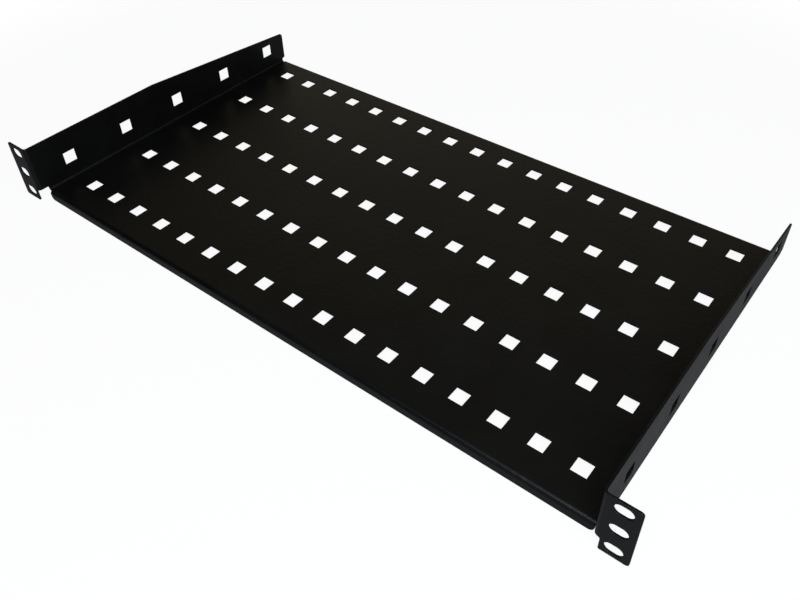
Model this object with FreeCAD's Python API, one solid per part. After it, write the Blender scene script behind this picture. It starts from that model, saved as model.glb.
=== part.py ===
import FreeCAD, Part
import math
import os
from FreeCAD import Vector

# A one-unit cantilever shelf for a 19-inch rack, punched and folded from one steel sheet.
# The tray has an upright flange along each side. Each flange's front end is folded outwards
# into an ear with three slots, which is screwed to a front rail of the rack. The tray's front
# and rear edges are folded down into lips that stiffen it. Square holes in the tray and the
# flanges let air through and take cable ties.
#
# Frame, in millimetres: +X to the right, +Y to the back, +Z up. The origin is midway between
# the two ears' middle slots, in the plane of the ears' rear faces, which seat on the rails.

# ---- Rack interface, as the 19-inch standard gives it ----
ear_span = 482.6  # over the outer edges of both ears
slot_column_spacing = 465.1  # between the two ears' slot centres
slot_pitch = 15.875  # between neighbouring slots of one ear
unit_joint_pitch = 12.7  # from the last hole of one rack unit to the first of the next
unit_clearance = 0.45  # by which an ear is shorter than a rack unit
slot_length = 10.0
slot_width = 7.0
ear_corner_radius = 2.0

# ---- Sheet ----
sheet = 1.2
bend_radius = 1.5  # inside every fold

# ---- Tray, flanges and lips ----
body_width = 445.5  # over the flanges' outer faces
depth = 250.0  # from the ears' front faces to the rear lip's outer face
slots_above_tray = 15.4  # from the tray's top face up to the middle slots' centres
taper_start = 111.7  # from the ears' front faces to where the flange's top edge starts to fall
tail_height = 25.0  # of the flange's rear end, above the tray's top face
tail_radius = 2.5  # at the rear end's upper corner
heel_radius = 1.2  # at the rear end's lower corner
front_lip_setback = 6.4  # from the ears' front faces to the front lip's outer face
lip_drop = 7.2  # from the tray's top face to the lips' lower edges
lip_corner_radius = 3.5

# ---- Reliefs, cut where two folds meet at a corner ----
relief_height = 2.8  # from the tray's top face up to the flange's lower edge
relief_radius = 1.0
front_relief_overrun = 1.5  # by which the relief passes the front lip's outer face
ear_relief_overrun = 1.05  # by which the relief passes the ear's fold
ear_relief_radius = 1.6

# ---- Square holes ----
hole_side = 9.5
hole_column_pitch = 25.0
hole_row_pitch = 50.0
first_row = 30.65  # from the ears' front faces to the front row's centres
side_margin = 15.0  # at least this from a hole's centre to the side fold
rear_margin = 12.0  # at least this from a hole's centre to the rear fold
flange_holes_below_tail = 8.9  # from the height of the flange's rear end down to the centres

# ---- Derived sizes ----
fold_reach = bend_radius + sheet  # a fold's outside radius, which is also the room it takes
half_body = body_width / 2
half_floor = half_body - fold_reach  # to where the side folds start
half_span = ear_span / 2
ear_height = 2 * slot_pitch + unit_joint_pitch - unit_clearance
ear_top = slots_above_tray + ear_height / 2
ear_bottom = slots_above_tray - ear_height / 2
ear_tab_edge = half_body - sheet + fold_reach + ear_relief_overrun
front_relief_edge = front_lip_setback + front_relief_overrun
front_fold = front_lip_setback + fold_reach  # where the floor's flat part starts
rear_fold = depth - fold_reach  # where it ends, and where the rear reliefs start
cut_over = 1.0  # by which a cutter passes the faces that it cuts
touching = 1e-6  # points closer than this are one point

# A view is the directions across and up an outline drawn in it, and the one along which the
# outline is extruded. Outlines are drawn from the ears' front faces and the tray's top face.
FRONT = (Vector(1, 0, 0), Vector(0, 0, 1), Vector(0, 1, 0))
SIDE = (Vector(0, 1, 0), Vector(0, 0, 1), Vector(1, 0, 0))
PLAN = (Vector(1, 0, 0), Vector(0, 1, 0), Vector(0, 0, 1))


def rounding(before, corner, after, radius):
    """Return the start, middle and end of the tangent arc that rounds a corner."""
    if radius == 0:
        return corner, corner, corner
    to_before = (before - corner).normalize()
    to_after = (after - corner).normalize()
    half_angle = to_before.getAngle(to_after) / 2
    reach = radius / math.tan(half_angle)
    inward = (to_before + to_after).normalize()
    middle = corner + inward * (radius / math.sin(half_angle) - radius)
    return corner + to_before * reach, middle, corner + to_after * reach


def prism(view, corners, start, end):
    """Return the solid that an outline of (across, up, radius) corners sweeps along a view."""
    across, up, along = view
    points = [across * u + up * v + along * start for u, v, _ in corners]
    count = len(points)
    arcs = []
    for i, point in enumerate(points):
        arcs.append(rounding(points[i - 1], point, points[(i + 1) % count], corners[i][2]))
    edges = []
    for i, (arc_start, arc_middle, arc_end) in enumerate(arcs):
        if not arc_start.isEqual(arc_end, touching):
            edges.append(Part.Arc(arc_start, arc_middle, arc_end).toShape())
        next_start = arcs[(i + 1) % count][0]
        if not arc_end.isEqual(next_start, touching):
            edges.append(Part.makeLine(arc_end, next_start))
    return Part.Face(Part.Wire(edges)).extrude(along * (end - start))


def rectangle(u, v, width, height, radius=0):
    """Return the corners of a rectangle centred on (u, v)."""
    left, right = u - width / 2, u + width / 2
    bottom, top = v - height / 2, v + height / 2
    corners = [(left, bottom), (right, bottom), (right, top), (left, top)]
    return [(*corner, radius) for corner in corners]


def mirrored(shape):
    """Return the shape as it is on the shelf's other side."""
    return shape.mirror(Vector(0, 0, 0), Vector(1, 0, 0))


def channel():
    """Return the tray's floor with a flange folded up along each side."""
    section = [
        (-half_body, ear_top, 0),
        (-half_body, -sheet, fold_reach),
        (half_body, -sheet, fold_reach),
        (half_body, ear_top, 0),
        (half_body - sheet, ear_top, 0),
        (half_body - sheet, 0, bend_radius),
        (-half_body + sheet, 0, bend_radius),
        (-half_body + sheet, ear_top, 0),
    ]
    flange_outline = [
        (fold_reach, relief_height, 0),
        (front_relief_edge, relief_height, relief_radius),
        (front_relief_edge, -sheet - cut_over, 0),
        (rear_fold, -sheet - cut_over, 0),
        (rear_fold, relief_height, relief_radius),
        (depth, relief_height, heel_radius),
        (depth, tail_height, tail_radius),
        (taper_start, ear_top, 0),
        (fold_reach, ear_top, 0),
    ]
    folded = prism(FRONT, section, fold_reach, depth)
    folded = folded.common(prism(SIDE, flange_outline, -half_body - cut_over, half_body + cut_over))
    lip_room = rectangle(0, -sheet / 2, 2 * half_floor, sheet + 2 * cut_over)
    return folded.cut(prism(FRONT, lip_room, front_relief_edge - cut_over, front_fold))


def lip(face, inward):
    """Return a lip with its fold; its outer face is at a depth, and inward is 1 or -1."""
    section = [
        (face + inward * fold_reach, 0, 0),
        (face, 0, fold_reach),
        (face, -lip_drop, 0),
        (face + inward * sheet, -lip_drop, 0),
        (face + inward * sheet, -sheet, bend_radius),
        (face + inward * fold_reach, -sheet, 0),
    ]
    outline = [
        (-half_floor, cut_over, 0),
        (-half_floor, -lip_drop, lip_corner_radius),
        (half_floor, -lip_drop, lip_corner_radius),
        (half_floor, cut_over, 0),
    ]
    folded = prism(SIDE, section, -half_floor, half_floor)
    return folded.common(prism(FRONT, outline, face - depth, face + depth))


def ear():
    """Return the right ear: the flange's front end folded outwards, with a tab below the tray."""
    section = [
        (half_body - sheet, fold_reach, 0),
        (half_body - sheet, 0, fold_reach),
        (half_span, 0, 0),
        (half_span, sheet, 0),
        (half_body, sheet, bend_radius),
        (half_body, fold_reach, 0),
    ]
    outline = [
        (half_floor, relief_height, 0),
        (ear_tab_edge, relief_height, ear_relief_radius),
        (ear_tab_edge, ear_bottom, relief_radius),
        (half_span, ear_bottom, ear_corner_radius),
        (half_span, ear_top, ear_corner_radius),
        (half_floor, ear_top, 0),
    ]
    folded = prism(PLAN, section, ear_bottom, ear_top)
    return folded.common(prism(FRONT, outline, -cut_over, fold_reach + cut_over))


def ear_slots():
    """Return the cutters of both ears' slots, one above another at the rack's pitch."""
    cutters = []
    for x in (-slot_column_spacing / 2, slot_column_spacing / 2):
        for z in (slots_above_tray - slot_pitch, slots_above_tray, slots_above_tray + slot_pitch):
            corners = rectangle(x, z, slot_length, slot_width, slot_width / 2)
            cutters.append(prism(FRONT, corners, -cut_over, sheet + cut_over))
    return cutters


def square_holes():
    """Return the cutters of the floor's grid of holes and of the flanges' holes beside its rows."""
    columns_per_side = int((half_floor - side_margin) / hole_column_pitch)
    rows = 1 + int((rear_fold - rear_margin - first_row) / hole_row_pitch)
    flange_holes_height = tail_height - flange_holes_below_tail
    cutters = []
    for row in range(rows):
        y = first_row + row * hole_row_pitch
        through_flanges = rectangle(y, flange_holes_height, hole_side, hole_side)
        cutters.append(prism(SIDE, through_flanges, -half_body - cut_over, half_body + cut_over))
        for column in range(-columns_per_side, columns_per_side + 1):
            through_floor = rectangle(column * hole_column_pitch, y, hole_side, hole_side)
            cutters.append(prism(PLAN, through_floor, -sheet - cut_over, cut_over))
    return cutters


right_ear = ear()
lips = [lip(front_lip_setback, 1), lip(depth, -1)]
shelf = channel().fuse(lips + [right_ear, mirrored(right_ear)])
shelf = shelf.cut(ear_slots() + square_holes()).removeSplitter()
shelf.translate(Vector(0, -sheet, -slots_above_tray))

os.makedirs("parts", exist_ok=True)
shelf.exportStep("parts/shelf.step")
print("solids", len(shelf.Solids), "valid", shelf.isValid(), "volume mm3", round(shelf.Volume))
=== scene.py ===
import itertools
import math

import bmesh
import bpy
from mathutils import Matrix, Vector


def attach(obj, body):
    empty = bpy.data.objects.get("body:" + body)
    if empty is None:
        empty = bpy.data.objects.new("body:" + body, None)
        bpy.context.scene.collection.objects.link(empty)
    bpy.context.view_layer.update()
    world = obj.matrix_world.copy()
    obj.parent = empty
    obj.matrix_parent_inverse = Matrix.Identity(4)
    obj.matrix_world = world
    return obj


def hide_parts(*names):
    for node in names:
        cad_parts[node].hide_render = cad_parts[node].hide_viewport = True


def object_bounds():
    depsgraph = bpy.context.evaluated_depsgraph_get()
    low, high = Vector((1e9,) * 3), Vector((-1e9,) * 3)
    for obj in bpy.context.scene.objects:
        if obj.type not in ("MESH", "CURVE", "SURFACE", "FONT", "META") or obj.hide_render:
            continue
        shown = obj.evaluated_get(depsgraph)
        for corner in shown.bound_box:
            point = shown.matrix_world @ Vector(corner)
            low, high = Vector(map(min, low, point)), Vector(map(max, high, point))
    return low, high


MM = 0.001

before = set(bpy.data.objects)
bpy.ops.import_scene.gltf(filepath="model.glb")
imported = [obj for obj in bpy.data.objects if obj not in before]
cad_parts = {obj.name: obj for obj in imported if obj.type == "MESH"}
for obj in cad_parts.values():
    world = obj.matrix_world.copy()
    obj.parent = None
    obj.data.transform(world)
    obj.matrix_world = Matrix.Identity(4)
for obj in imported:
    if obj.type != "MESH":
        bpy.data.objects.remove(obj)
cad_low, cad_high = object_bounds()
centre = (cad_low + cad_high) / 2


# ---- Helpers ----
def new_object(name, bm):
    """Turn what the bmesh holds into an object at the origin, and free the bmesh."""
    mesh = bpy.data.meshes.new(name)
    bm.to_mesh(mesh)
    bm.free()
    new = bpy.data.objects.new(name, mesh)
    bpy.context.scene.collection.objects.link(new)
    return new


def linear(hex_colour):
    """An sRGB hex colour as the linear values that Blender's sockets take."""
    values = [int(hex_colour[i:i + 2], 16) / 255 for i in (1, 3, 5)]
    return [v / 12.92 if v <= 0.04045 else ((v + 0.055) / 1.055) ** 2.4 for v in values] + [1.0]


def add_node(tree, kind, inputs, **settings):
    """Add a node; each input, by name or place, is a value or the output that feeds it."""
    node = tree.nodes.new(kind)
    for name, setting in settings.items():
        setattr(node, name, setting)
    for socket, source in inputs.items():
        if isinstance(source, bpy.types.NodeSocket):
            tree.links.new(source, node.inputs[socket])
        else:
            node.inputs[socket].default_value = source
    return node


def new_material(name):
    """A material with no nodes yet, and its node tree."""
    material = bpy.data.materials.new(name)
    material.use_nodes = True
    material.node_tree.nodes.clear()
    return material, material.node_tree


# ---- The shelf ----
MERGE = 0.0001 * MM  # corners nearer to each other than this are one corner
FLAT = math.radians(0.05)  # faces that meet at less than this are one face
SHARP = math.radians(40)  # cut edges turn by more than this, and the facets of a fold by less
COATED_EDGE = 0.18 * MM  # the radius that the coat gives to a cut edge
EDGE_FACETS = 2  # across that radius
NARROW = math.radians(20)  # at the reliefs, some cut edges meet at less than this
NO_ROOM = 1.0 * MM  # within this of such a meeting, the coat's radius has no room
LARGEST_FACE_LEADS = 100  # the weight at which a corner takes the normal of its largest face


def edges_with_room(bm):
    """The cut edges that have room for the coat's radius.

    Those left out end near a narrow meeting, or are inner corners shorter than NO_ROOM.
    """
    cut_edges = [edge for edge in bm.edges if edge.calc_face_angle() > SHARP]
    ways_from = {}  # each corner's directions along its cut edges
    for edge in cut_edges:
        for corner in edge.verts:
            way = edge.other_vert(corner).co - corner.co
            ways_from.setdefault(corner, []).append(way)
    narrow_meetings = [
        corner.co for corner, ways in ways_from.items()
        if any(one.angle(other) < NARROW for one, other in itertools.combinations(ways, 2))
    ]
    with_room = []
    for edge in cut_edges:
        short_inner_corner = not edge.is_convex and edge.calc_length() < NO_ROOM
        near_a_meeting = any(
            (corner.co - meeting).length <= NO_ROOM
            for corner in edge.verts for meeting in narrow_meetings
        )
        if not short_inner_corner and not near_a_meeting:
            with_room.append(edge)
    return with_room


def coated_shelf(node):
    """The folded sheet, with its cut edges softened by the coat."""
    bm = bmesh.new()
    bm.from_mesh(node.data)
    bmesh.ops.remove_doubles(bm, verts=bm.verts, dist=MERGE)
    bmesh.ops.dissolve_limit(bm, angle_limit=FLAT, verts=bm.verts, edges=bm.edges)
    # Clamping is off, because one tight corner would make the radius smaller on every edge.
    bmesh.ops.bevel(
        bm, geom=edges_with_room(bm), affect="EDGES", offset=COATED_EDGE, offset_type="OFFSET",
        segments=EDGE_FACETS, profile=0.5, clamp_overlap=False, material=-1,
    )
    for face in bm.faces:
        face.smooth = True
    shelf = new_object("coated_shelf", bm)
    shelf.modifiers.new("flat_faces_stay_flat", "WEIGHTED_NORMAL").weight = LARGEST_FACE_LEADS
    return shelf


# ---- Its coat ----
# Black polyester powder coat on steel, sprayed on dry and baked. It melts into a satin film with
# a faint orange peel over a fine grit, so the eye gets a deep black with a soft, grainy sheen.
ORANGE_PEEL = 2.4 * MM  # from crest to crest
GRIT = 0.6 * MM  # twice as coarse as the real one, which would be too fine to show
GRIT_SHARE = 0.3  # of the orange peel's height
COAT_RELIEF = 0.1 * MM  # what the noise's whole range would stand for in height
RELIEF_DETAIL = 1.0  # one finer layer in the peel's noise, and one in the grit's
CLOUDS = 30 * MM  # patches where the film lies thicker or thinner
THICK_CLOUD, THIN_CLOUD = 0.35, 0.65  # of the clouds' noise
THICK_BLACK, THIN_BLACK = "#060606", "#090908"
THICK_ROUGHNESS, THIN_ROUGHNESS = 0.36, 0.41
GLOSS = 0.4  # a little under a smooth plastic's 0.5, because the grit breaks up the reflections


def black_powder_coat():
    """The coat's material, with its relief as bump and its clouds in colour and roughness."""
    material, tree = new_material("black_powder_coat_on_steel")
    place = add_node(tree, "ShaderNodeTexCoord", {}).outputs["Object"]
    peel = add_node(
        tree, "ShaderNodeTexNoise",
        {"Vector": place, "Scale": 1 / ORANGE_PEEL, "Detail": RELIEF_DETAIL},
    )
    grit = add_node(
        tree, "ShaderNodeTexNoise",
        {"Vector": place, "Scale": 1 / GRIT, "Detail": RELIEF_DETAIL},
    )
    relief = add_node(
        tree, "ShaderNodeMath", {0: grit.outputs["Fac"], 1: GRIT_SHARE, 2: peel.outputs["Fac"]},
        operation="MULTIPLY_ADD",
    )
    bump = add_node(
        tree, "ShaderNodeBump",
        {"Height": relief.outputs[0], "Strength": 1.0, "Distance": COAT_RELIEF},
    )
    clouds = add_node(tree, "ShaderNodeTexNoise", {"Vector": place, "Scale": 1 / CLOUDS})
    black = add_node(tree, "ShaderNodeValToRGB", {"Fac": clouds.outputs["Fac"]})
    thick, thin = black.color_ramp.elements
    thick.position, thick.color = THICK_CLOUD, linear(THICK_BLACK)
    thin.position, thin.color = THIN_CLOUD, linear(THIN_BLACK)
    roughness = add_node(
        tree, "ShaderNodeMapRange",
        {
            "Value": clouds.outputs["Fac"], "From Min": THICK_CLOUD, "From Max": THIN_CLOUD,
            "To Min": THICK_ROUGHNESS, "To Max": THIN_ROUGHNESS,
        },
    )
    coat = add_node(
        tree, "ShaderNodeBsdfPrincipled",
        {
            "Base Color": black.outputs["Color"], "Roughness": roughness.outputs["Result"],
            "Specular IOR Level": GLOSS, "Normal": bump.outputs["Normal"],
        },
    )
    add_node(tree, "ShaderNodeOutputMaterial", {"Surface": coat.outputs["BSDF"]})
    return material


shelf = coated_shelf(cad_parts["shelf"])
shelf.data.materials.append(black_powder_coat())
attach(shelf, "root")
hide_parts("shelf")

# ---- Floor ----
FLOOR_REACH = 30.0  # metres from the middle to each side
FLOOR_PAINT = "#828282"  # grey where the light falls on it, and seen mixed with plain white
PAINT_SHOWS_TO = 0.35  # metres from the shelf's centre, where the paint starts to fade to white
ALL_WHITE_FROM = 1.5  # metres from the same point
SEEN_WHITE = 0.6  # the share of plain white in the floor near the shelf, as the camera sees it
WHITE_IN_REFLECTIONS = 0.04  # the same share, all over the floor, as reflections show it
PLAIN_WHITE = 1.55  # strong enough for the mixed floor to show as nearly white


def studio_floor():
    """A pale floor under the shelf, which keeps its shadow and can be seen through from below."""
    bm = bmesh.new()
    ground = Matrix.Translation((0, 0, cad_low.z))
    bmesh.ops.create_grid(bm, x_segments=1, y_segments=1, size=FLOOR_REACH, matrix=ground)
    floor = new_object("floor", bm)

    material, tree = new_material("pale_studio_floor")
    paint = add_node(tree, "ShaderNodeBsdfDiffuse", {"Color": linear(FLOOR_PAINT)})
    white = add_node(tree, "ShaderNodeEmission", {"Strength": PLAIN_WHITE})
    place = add_node(tree, "ShaderNodeTexCoord", {}).outputs["Object"]
    away = add_node(tree, "ShaderNodeVectorMath", {0: place, 1: centre}, operation="DISTANCE")
    seen_share = add_node(
        tree, "ShaderNodeMapRange",
        {
            "Value": away.outputs["Value"], "From Min": PAINT_SHOWS_TO, "From Max": ALL_WHITE_FROM,
            "To Min": SEEN_WHITE, "To Max": 1.0,
        },
        interpolation_type="SMOOTHSTEP",
    )
    path = add_node(tree, "ShaderNodeLightPath", {}).outputs
    reflected = add_node(
        tree, "ShaderNodeMath", {0: path["Is Glossy Ray"], 1: path["Is Transmission Ray"]},
        operation="ADD",
    )
    reflected_share = add_node(
        tree, "ShaderNodeMath", {0: reflected.outputs[0], 1: WHITE_IN_REFLECTIONS},
        operation="MULTIPLY",
    )
    share = add_node(
        tree, "ShaderNodeMath",
        {0: path["Is Camera Ray"], 1: seen_share.outputs["Result"], 2: reflected_share.outputs[0]},
        operation="MULTIPLY_ADD",
    )
    top = add_node(
        tree, "ShaderNodeMixShader",
        {0: share.outputs[0], 1: paint.outputs[0], 2: white.outputs[0]},
    )
    below = add_node(tree, "ShaderNodeBsdfTransparent", {})
    from_below = add_node(tree, "ShaderNodeNewGeometry", {}).outputs["Backfacing"]
    both = add_node(
        tree, "ShaderNodeMixShader", {0: from_below, 1: top.outputs[0], 2: below.outputs[0]}
    )
    add_node(tree, "ShaderNodeOutputMaterial", {"Surface": both.outputs[0]})
    floor.data.materials.append(material)
    return floor


studio_floor()

# ---- Room and lamp ----
# Directions needn't be of length 1. A level of 1 is plain white.
WHITE = "#ffffff"
HORIZON_TOP = 0.3  # height in the world's sphere, of radius 1, at which the pale horizon ends
HORIZON_LEVEL = 0.8
DARK_SIDE = (-0.8, -0.6, 0.1)  # towards the corner of the room where the horizon isn't lit
LIT_BELOW, DARK_ABOVE = 0.0, 0.9  # cosines of the angle from the dark side
# Each pale wall has the direction in which it glows most, the cosines of the angle from there at
# which its glow starts and is full, its level and its colour.
WALLS = {
    "rear left": ((-0.52, 0.83, 0.2), 0.62, 0.97, 0.235, "#fff4d0"),
    "right": ((0.95, -0.4, 0.15), 0.83, 0.97, 0.55, "#d8e4ff"),
    "ceiling": ((0.0, -0.1, 1.0), 0.75, 1.0, 0.15, "#f4f8ff"),
}
KEY_TOWARDS = (0.5, -0.5, 0.75)  # where the lamp is, seen from the shelf's centre
KEY_DISTANCE = 1.05  # metres from the shelf's centre
KEY_SIZE = 0.85  # metres along each side
KEY_LEVEL = 0.9  # about what it gives a white card at the shelf's centre that faces it
KEY_COLOUR = "#eef4ff"


def studio_world():
    """White as the camera sees it, and otherwise a dim room with a pale horizon and walls."""
    world = bpy.data.worlds.new("studio")
    bpy.context.scene.world = world
    world.use_nodes = True
    tree = world.node_tree
    tree.nodes.clear()
    direction = add_node(tree, "ShaderNodeTexCoord", {}).outputs["Generated"]
    height = add_node(tree, "ShaderNodeSeparateXYZ", {"Vector": direction}).outputs["Z"]
    from_dark_side = add_node(
        tree, "ShaderNodeVectorMath", {0: direction, 1: Vector(DARK_SIDE).normalized()},
        operation="DOT_PRODUCT",
    )
    horizon_level = add_node(
        tree, "ShaderNodeMapRange",
        {
            "Value": from_dark_side.outputs["Value"],
            "From Min": LIT_BELOW, "From Max": DARK_ABOVE,
            "To Min": HORIZON_LEVEL, "To Max": 0.0,
        },
        interpolation_type="SMOOTHSTEP",
    )
    horizon = add_node(
        tree, "ShaderNodeMapRange",
        {
            "Value": height, "From Max": HORIZON_TOP,
            "To Min": horizon_level.outputs["Result"], "To Max": 0.0,
        },
        interpolation_type="SMOOTHSTEP",
    )
    room = add_node(
        tree, "ShaderNodeBackground",
        {"Color": linear(WHITE), "Strength": horizon.outputs["Result"]},
    )
    for towards, starts, full, level, colour in WALLS.values():
        facing = add_node(
            tree, "ShaderNodeVectorMath", {0: direction, 1: Vector(towards).normalized()},
            operation="DOT_PRODUCT",
        )
        glow = add_node(
            tree, "ShaderNodeMapRange",
            {
                "Value": facing.outputs["Value"], "From Min": starts, "From Max": full,
                "To Max": level,
            },
            interpolation_type="SMOOTHSTEP",
        )
        wall = add_node(
            tree, "ShaderNodeBackground",
            {"Color": linear(colour), "Strength": glow.outputs["Result"]},
        )
        room = add_node(tree, "ShaderNodeAddShader", {0: room.outputs[0], 1: wall.outputs[0]})
    white = add_node(tree, "ShaderNodeBackground", {"Color": linear(WHITE), "Strength": 1.0})
    seen = add_node(tree, "ShaderNodeLightPath", {}).outputs["Is Camera Ray"]
    both = add_node(
        tree, "ShaderNodeMixShader", {0: seen, 1: room.outputs[0], 2: white.outputs[0]}
    )
    add_node(tree, "ShaderNodeOutputWorld", {"Surface": both.outputs[0]})


def softbox():
    """A square lamp, large enough to be soft, above the shelf's front right."""
    towards = Vector(KEY_TOWARDS).normalized()
    light = bpy.data.lights.new("key", "AREA")
    light.shape = "SQUARE"
    light.size = KEY_SIZE
    light.energy = KEY_LEVEL * (math.pi * KEY_DISTANCE) ** 2  # watts, as for a distant lamp
    light.color = linear(KEY_COLOUR)[:3]
    lamp = bpy.data.objects.new("key", light)
    bpy.context.scene.collection.objects.link(lamp)
    place = centre + KEY_DISTANCE * towards
    lamp.matrix_world = Matrix.LocRotScale(place, towards.to_track_quat("Z", "Y"), None)


studio_world()
softbox()

# ---- Camera ----
# It stands beyond the shelf's front right corner, and looks down across the tray.
LENS, SENSOR = 36.33, 36.0  # millimetres
SHIFT_X, SHIFT_Y = -0.0137, -0.0411  # shares of the frame's width
CAMERA_PLACE = (0.27985, -0.20248, 0.32927)  # metres
AZIMUTH = math.radians(38.77)  # where it looks, anticlockwise from +Y as seen from above
ELEVATION = math.radians(41.98)  # how far down it looks
ROLL = math.radians(-1.444)  # about its own line of sight

camera_data = bpy.data.cameras.new("camera")
camera_data.lens = LENS
camera_data.sensor_width = SENSOR
camera_data.shift_x = SHIFT_X
camera_data.shift_y = SHIFT_Y
camera = bpy.data.objects.new("camera", camera_data)
bpy.context.scene.collection.objects.link(camera)
around = Matrix.Rotation(AZIMUTH, 3, "Z")
tilt = Matrix.Rotation(math.pi / 2 - ELEVATION, 3, "X")
turn = around @ tilt @ Matrix.Rotation(ROLL, 3, "Z")
camera.matrix_world = Matrix.LocRotScale(Vector(CAMERA_PLACE), turn.to_quaternion(), None)
bpy.context.scene.camera = camera
bpy.context.scene.view_settings.view_transform = "Standard"
